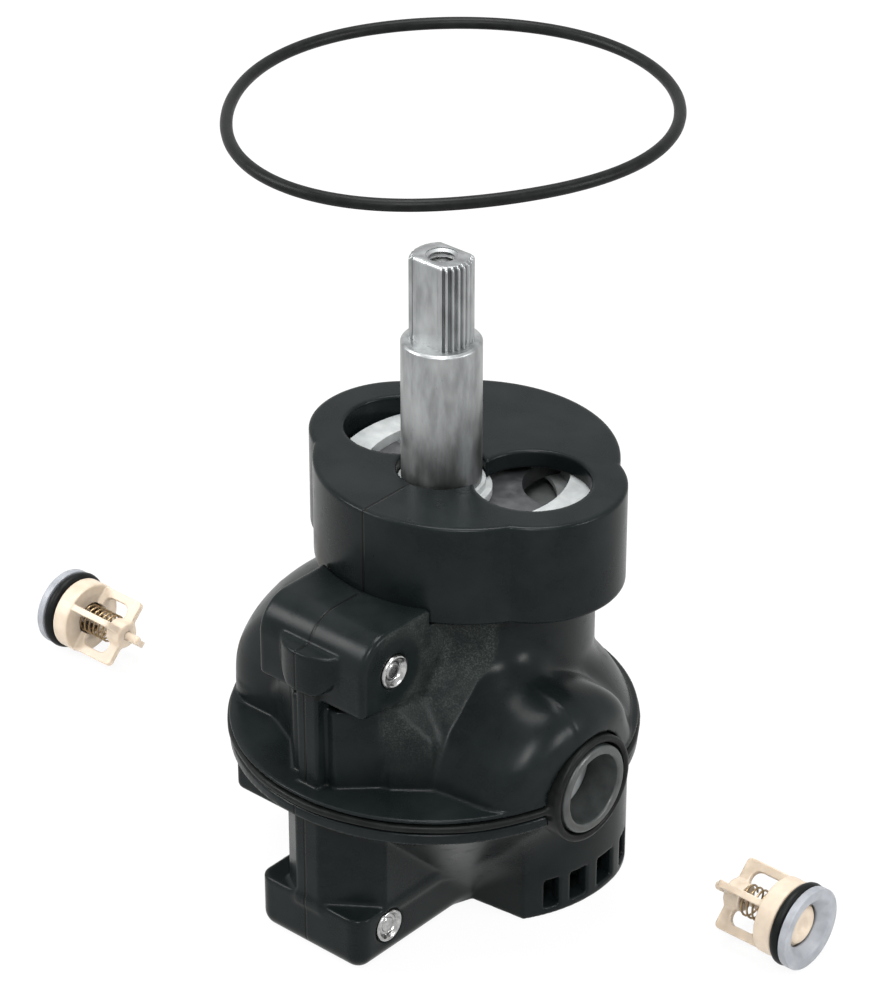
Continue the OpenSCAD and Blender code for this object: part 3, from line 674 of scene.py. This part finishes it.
def bowl_and_lobe(x, y, z, rb, rl):
    """Bowl that flares from the foot to the flange, and the straight lobe behind it."""
    flare = 9.6 + 14.9 * (np.clip(z, 0, 24) / 21.5) ** 1.35
    bowl = np.maximum((rb - flare) * 0.78, z - 23.2)
    lobe = both(rl - 20.6, rb - 26.1, 2.0)
    lobe = np.maximum(lobe, (-(y + 4.3) * 0.993 + (np.abs(x) - 9.4) * 0.117))
    return near(bowl, lobe, 0.3 + 4.0 * step(z, 1, 9))


def web_and_foot(x, y, z):
    """Web down the front, with the pinned foot across its lower end."""
    web = both(outline(x, y, WEB), between(z, 7, 23.2), 0.5)
    plan = drawn(np.abs(x - BLOCK_X) - 8.9, -26.55 - y, 2.2)
    foot = both(drawn(-x - 8.5, -z, 3.4), drawn(plan, -z, 2.4), 0.5)
    foot = np.maximum(both(foot, z - 8.1, 0.5), y)
    return near(web, foot, 0.8)


def left_skirt(x, y, z, rb):
    """Skirt under the left port, with a square corner to it."""
    skirt = both(rb - WING_R, -17.0 - y, 0.4)
    skirt = both(skirt, drawn(-x - 21.2, 11.0 - z, 1.0), 0.4)
    return np.maximum(np.maximum(skirt, x + 3), y + 10)


def lower_form(x, y, z):
    """The lower shell: bowl, rear lobe, web, foot and skirt in one."""
    rb, q = from_axes(x, y, z)
    rl = np.hypot(x, y - LOBE_Y)
    body = near(bowl_and_lobe(x, y, z, rb, rl), web_and_foot(x, y, z), 0.8)
    body = near(body, left_skirt(x, y, z, rb), 0.4)
    rim = drawn(rb - BODY_R - 0.1, between(z, 21.7, LOWER_EDGE), 0.35)
    body = both(near(body, rim, 0.6), z - LOWER_EDGE, 0.25)
    body = both(body, -z, 0.5)
    # The chamber behind the lobe's wall, and the windows in the wall
    chamber = np.maximum(np.maximum(rl - 18.7, rb - 24.4), np.maximum(1.6 - z, z - 9.0))
    chamber = np.maximum(chamber, np.where(y > 8.5, -1.0, 10.5 - np.abs(x)))
    body = less(body, np.maximum(chamber, -2.0 - y), 0.3)
    turn = np.degrees(np.arctan2(y - LOBE_Y, np.abs(x)))
    for a, b in WINDOWS:
        window = drawn((np.abs(turn - (a + b) / 2) - (b - a) / 2) * WALL_DEGREE, between(z, 1.2, 5.5), 0.25)
        body = less(body, np.maximum(window, 15.8 - rl), 0.25)
    # Room for the ports and the rivet
    body = less(body, np.maximum(q - 7.55, 23.2 - np.abs(x)), 0.25)
    body = less(body, q - PORT_BORE_R, 0.2)
    return less(body, head_room(x, y, z, LOWER_PIN), 0.2)


moulded("lower_shell_moulding", lower_form, (-27.2, -28.7, -0.4), (27.2, 28.3, 23.8), 0.34,
        "black_plastic", ["lower_shell"], seam_only(-16))


# ---------------------------------------------------------------- cap

def cap_form(x, y, z):
    """The cap: a lobed plan drawn up, with two outlet holes, the stem's hole and an open underside."""
    from_middle, from_outlet = np.hypot(x, y - CAP_Y), np.hypot(np.abs(x) - OUTLET_X, y - CAP_Y)
    plan = near(from_middle - 19.6, from_outlet - 12.0, 0.03)
    body = drawn(plan, between(z, CAP_LO, CAP_HI), 0.45)
    body = less(body, np.minimum(from_outlet - 7.48, np.hypot(x, y) - 5.75), 0.35)
    return less(body, np.maximum(from_middle - 17.05, z - 58.1), 0.3)


moulded("cap_moulding", cap_form, (-23.1, -15, 46.6), (23.1, 24.6, 60.7), 0.3,
        "black_plastic", ["cap"], seam_only(-5))


# ---------------------------------------------------------------- stem

def stem_shape():
    """Smooth shaft, toothed end with two flats and a tapped hole, and the tang that turns the disc."""
    turns = 480
    angle = np.arange(turns) * 2 * math.pi / turns
    groove = (0.5 - 0.5 * np.cos((angle + math.radians(3.8)) * STEM_TEETH)) ** 1.4

    def section(z, r, flat, depth):
        """The toothed end at a height: its radius, half its width over the flats and the grooves' depth."""
        rr = r - depth * groove
        return np.column_stack([rr * np.cos(angle), np.clip(rr * np.sin(angle), -flat, flat), np.full(turns, z)])

    levels = [section(78.6, 4.08, 2.85, 0.55), section(89.75, 4.08, 2.85, 0.55), section(90.05, 3.95, 2.78, 0.4),
              section(90.3, 3.6, 2.6, 0.05), section(STEM_TOP, 3.45, 2.5, 0.0), section(STEM_TOP, 2.2, 2.2, 0)]
    screw, z = [], STEM_TOP
    while z > 80:
        screw += [(SCREW_ROOT_R, z), (SCREW_ROOT_R, z - 0.12), (SCREW_CREST_R, z - 0.4), (SCREW_CREST_R, z - 0.5)]
        z -= SCREW_PITCH
    screw.append((SCREW_CREST_R, 79))
    levels += [np.column_stack([r * np.cos(angle), r * np.sin(angle), np.full(turns, h)]) for r, h in screw]
    faces = [[k * turns + i, k * turns + (i + 1) % turns, (k + 1) * turns + (i + 1) % turns, (k + 1) * turns + i]
             for k in range(len(levels) - 1) for i in range(turns)]
    faces.append(list(range(turns))[::-1])
    faces.append([(len(levels) - 1) * turns + i for i in range(turns)])
    shaft = turned([(0, 53.7), (STEM_R, 53.7), (STEM_R, 78.55), (STEM_R - 0.3, 78.85), (0, 78.85)], 0.12, steps=128)
    tang = turned([(0, 51.6), (2, 51.6), (2, 54), (0, 54)], 0.1, steps=32)
    return join(shaft, (np.concatenate(levels), faces), tang)


crisp(piece("stem_casting", stem_shape(), "zinc", "stem", ["stem"]))


# ---------------------------------------------------------------- rubber band, port liners and the stem's bush

def seal_form(x, y, z):
    """The band between the shells, a little wavy, with a round lip at each port."""
    rb, q = from_axes(x, y, z)
    wave = 0.06 * np.sin(np.arctan2(y, x) * 7) + 0.04 * np.sin(np.arctan2(y, x) * 17 + 1)
    band = drawn(between(rb, 23.8, 26.95 + wave), between(z, 23.62, 24.62), 0.42)
    lip = drawn(between(q, 6.3, 7.3), between(np.abs(x), 23.6, 26.95), 0.4)
    return near(less(band, q - 6.3, 0.2), lip, 0.7)


moulded("seal_rubber", seal_form, (-27.6, -29, 16), (27.6, 26, 32.4), 0.3, "rubber", ["body_seal"])

LINER = [(4.75, 22), (6.0, 22), (6.0, 26.9), (5.7, 27.15), (4.95, 27.15), (4.75, 26.9)]
for side, flip in (("right", False), ("left", True)):
    piece(f"port_liner_{side}_ring", turned(LINER, 0.15, (0, BODY_Y, PORT_Z), "X", flip=flip),
          "liner_plastic", "root", [f"port_liner_{side}"])

COLLAR = [(4.72, 56.8), (6.45, 56.8), (6.45, 58.0), (5.6, 58.0), (5.6, 59.0), (4.72, 59.0)]
piece("stem_collar_ring", turned(COLLAR, 0.1), "white_plastic", "root", ["stem_collar"])


# ---------------------------------------------------------------- rivets

HALF_RIVET = [(0, 0), (1.6, 0), (1.6, 8.9), (2.2, 8.95), (2.3, 9.25), (2.2, 9.52), (2.0, 9.6), (1.82, 9.5),
              (1.5, 9.16), (1.42, 8.98), (1.05, 8.96), (0.95, 9.12), (0, 9.16)]


def rivet(y, z):
    """Hollow rivet along X; its left head lies 0.6 mm nearer to the middle."""
    left = [(r, h - 0.6 if h > 5 else h) for r, h in HALF_RIVET]
    return join(turned(HALF_RIVET, 0.06, (0, y, z), "X", 48), turned(left, 0.06, (0, y, z), "X", 48, True))


piece("upper_rivet", rivet(*UPPER_PIN), "steel", "root", ["upper_pin"])
piece("lower_rivet", rivet(LOWER_PIN[0], 5.15), "steel", "root", ["lower_pin"])


# ---------------------------------------------------------------- housing ring

WAVES = (2, 3, 4)


def cord_rule():
    """A round cord closed to a ring, which swells in and out as it goes round."""
    rule = Rule("round_cord", "ring", "cord", *(f"{wave}{k}" for k in WAVES for wave in ("cos", "sin")))
    loop = rule.circle(192, rule.number("ring"))
    spot = rule.add("GeometryNodeInputPosition")
    turn = rule.axis(spot, 1).angle(rule.axis(spot, 0))
    swell = sum(rule.number(f"cos{k}") * (turn * k).cosine() + rule.number(f"sin{k}") * (turn * k).sine()
                for k in WAVES)
    offset = rule.add("ShaderNodeCombineXYZ", values=[turn.cosine() * swell, turn.sine() * swell, 0.0])
    loop = rule.add("GeometryNodeSetPosition", values={"Geometry": loop, "Offset": offset})
    return rule.close(rule.add("GeometryNodeCurveToMesh", values={
        "Curve": loop, "Profile Curve": rule.circle(16, rule.number("cord"))}))


CORD_RULE = cord_rule()
ring, faces = CORD_RULE.make("rubber", ring=26.79, cord=0.77, cos2=-0.878, sin2=0.663, cos3=-0.106, sin3=0.499,
                             cos4=0.307, sin4=0.063)
piece("housing_ring", (ring + (1.1, 0.3, 109.95), faces), "rubber", "root", ["housing_oring"])


# ---------------------------------------------------------------- check valves

# Each piece is made with the seat's face at x = 0 and the valve along +X.

def cage_fins(x, out, across):
    """Two windowed fins in a plane through the axis; out is measured in the plane and across from it."""
    fins = drawn(drawn(out - 5.1, between(x, 4, 12.6), 0.7), across - 0.46, 0.12)
    window = drawn(drawn(out - 3.85, between(x, 6.3, 11.0), 1.2), across - 2, 0)
    return less(fins, window, 0.2)


def cage_form(x, y, z):
    """A valve's cage: collar, four windowed fins and the hub that guides the poppet's rod."""
    rho = np.hypot(y, z)
    u, v = np.abs(y + z) * math.sqrt(0.5), np.abs(y - z) * math.sqrt(0.5)
    collar = drawn(rho - 5.25, between(x, 2.8, 5.45), 0.25)
    hub = drawn(rho - 1.9, between(x, 10.3, 12.8), 0.2)
    form = near(collar, near(cage_fins(x, u, v), cage_fins(x, v, u), 0.4), 0.3)
    form = near(form, hub, 0.5)
    # Room for the seat, for the spring and for the poppet's rod
    form = less(form, drawn(rho - 3.75, between(x, 1, 5.35)), 0.15)
    form = less(form, drawn(rho - 2.35, between(x, 1, 10.3)), 0.1)
    return less(form, rho - 0.66, 0.1)


def spring_rule():
    """A coil of round wire."""
    rule = Rule("wire_coil", "turns", "coil", "wire", "length")
    path = rule.add("GeometryNodeCurveSpiral", values={
        "Resolution": 20, "Rotations": rule.number("turns"), "Start Radius": rule.number("coil"),
        "End Radius": rule.number("coil"), "Height": rule.number("length")})
    return rule.close(rule.add("GeometryNodeCurveToMesh", values={
        "Curve": path, "Profile Curve": rule.circle(10, rule.number("wire")), "Fill Caps": True}))


def along_x(shape, start):
    """A shape made round Z, laid along X from start."""
    points, faces = shape
    return points[:, [2, 0, 1]] + (start, 0, 0), faces


def lay(shape, at, turn):
    """A valve's piece laid at its place; turn is -1 where the seat faces +X."""
    points, faces = shape
    points = points * np.array([turn, 1, 1]) + np.asarray(at, float)
    return points, inside_out(faces) if turn < 0 else faces


SEAT = turned([(4.1, 0.15), (4.4, 0), (5.65, 0), (5.65, 1.15), (4.05, 1.15), (4.05, 2.7), (3.5, 2.7), (3.45, 1.8),
               (3.0, 1.65), (2.95, 1.3)], 0.16, axis="X")
POPPET = turned([(0, 1.75), (0.8, 1.7), (1.3, 1.35), (1.9, 1.2), (2.4, 1.3), (2.75, 1.65), (2.8, 1.9), (3.2, 2.0),
                 (3.2, 2.6), (1.05, 2.6), (1.05, 4.4), (0.58, 4.4), (0.62, 14.9), (0.4, 15.2), (0, 15.2)], 0.15,
                axis="X", steps=64)
CAGE = skin(cage_form, (2.7, -5.4, -5.4), (13.4, 5.4, 5.4), 0.13)
CORD = along_x(CORD_RULE.make("rubber", ring=4.95, cord=0.8), 1.95)
COIL = along_x(spring_rule().make("bronze_wire", turns=8, coil=2.05, wire=0.15, length=7.1), 3.0)

for side, at, turn in (("left", (-77.6, 5.6, 5.75), 1), ("right", (51.2, 13.3, 5.75), -1)):
    for shape, what, finish, body, node in (
            (SEAT, "seat_ring", "valve_grey", "root", "seat"), (CORD, "cord", "rubber", "root", "oring"),
            (CAGE, "cage_moulding", "valve_cream", "root", "cage"),
            (POPPET, "poppet_moulding", "valve_cream", f"{side}_poppet", "poppet")):
        piece(f"{side}_valve_{what}", lay(shape, at, turn), finish, body, [f"{side}_valve_{node}"])
    coil = piece(f"{side}_valve_coil", lay(COIL, at, turn), "bronze_wire", "root", [f"{side}_valve_spring"])
    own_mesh(coil)


# ---------------------------------------------------------------- pieces kept from the frame

for part in frame["record"]["subparts"]:
    node = frame["nodes"][part["node"]]
    node.data.materials.clear()
    node.data.materials.append(FINISH[part["material_slot"]])


# ---------------------------------------------------------------- floor, backdrop and light

def stage_floor():
    """Pale floor that shows white to the camera and in reflections, and keeps a soft shadow."""
    half, under = 3.0, -0.0002
    mesh = bpy.data.meshes.new("floor")
    mesh.from_pydata([(-half, -half, under), (half, -half, under), (half, half, under), (-half, half, under)], [],
                     [(0, 1, 2, 3)])
    p = Paint("floor_white")
    p.set(base_color=(0.86, 0.86, 0.86), roughness=0.9, specular_ior_level=0.0)
    glow = p.add("ShaderNodeEmission", values={"Color": (1, 1, 1), "Strength": 1.0})
    mix = p.add("ShaderNodeMixShader", values=[p.seen() * 0.93, Level(p, p.shader.outputs[0]), glow])
    p.feed(p.tree.nodes["Material Output"].inputs["Surface"], mix)
    mesh.materials.append(p.material)
    placed("floor", mesh)


def stage_world():
    """Backdrop that grows lighter upward for the light it gives, and is white to the camera."""
    world = bpy.data.worlds.new("studio")
    bpy.context.scene.world = world
    world.use_nodes = True
    sky = Nodes(world.node_tree)
    height = sky.axis(sky.add("ShaderNodeTexCoord", output="Generated"), 2)
    light = sky.add("ShaderNodeValToRGB", {"stops": [(0.0, (0.30, 0.30, 0.30)), (0.9, (0.85, 0.85, 0.85))]},
                    [height])
    backdrop = sky.tree.nodes["Background"]
    sky.feed(backdrop.inputs["Color"], sky.blend(sky.seen(), light, (1, 1, 1)))
    sky.feed(backdrop.inputs["Strength"], 1.0)


def lamp(name, at, size, power):
    """A rectangular lamp: its place and size in metres and its power in watts."""
    data = bpy.data.lights.new(name, "AREA")
    data.shape, data.size, data.size_y, data.energy = "RECTANGLE", size[0], size[1], power
    aim(placed(name, data), at, LIT_POINT - Vector(at))


stage_floor()
stage_world()
lamp("overhead", (-0.08, 0.08, 0.80), (0.34, 0.34), 6)
lamp("left_window", (-0.46, -0.42, 0.46), (0.22, 0.30), 4)
lamp("front_window", (0.33, -0.43, 0.62), (0.16, 0.24), 4)
lamp("right_window", (0.66, 0.18, 0.34), (0.12, 0.26), 3)
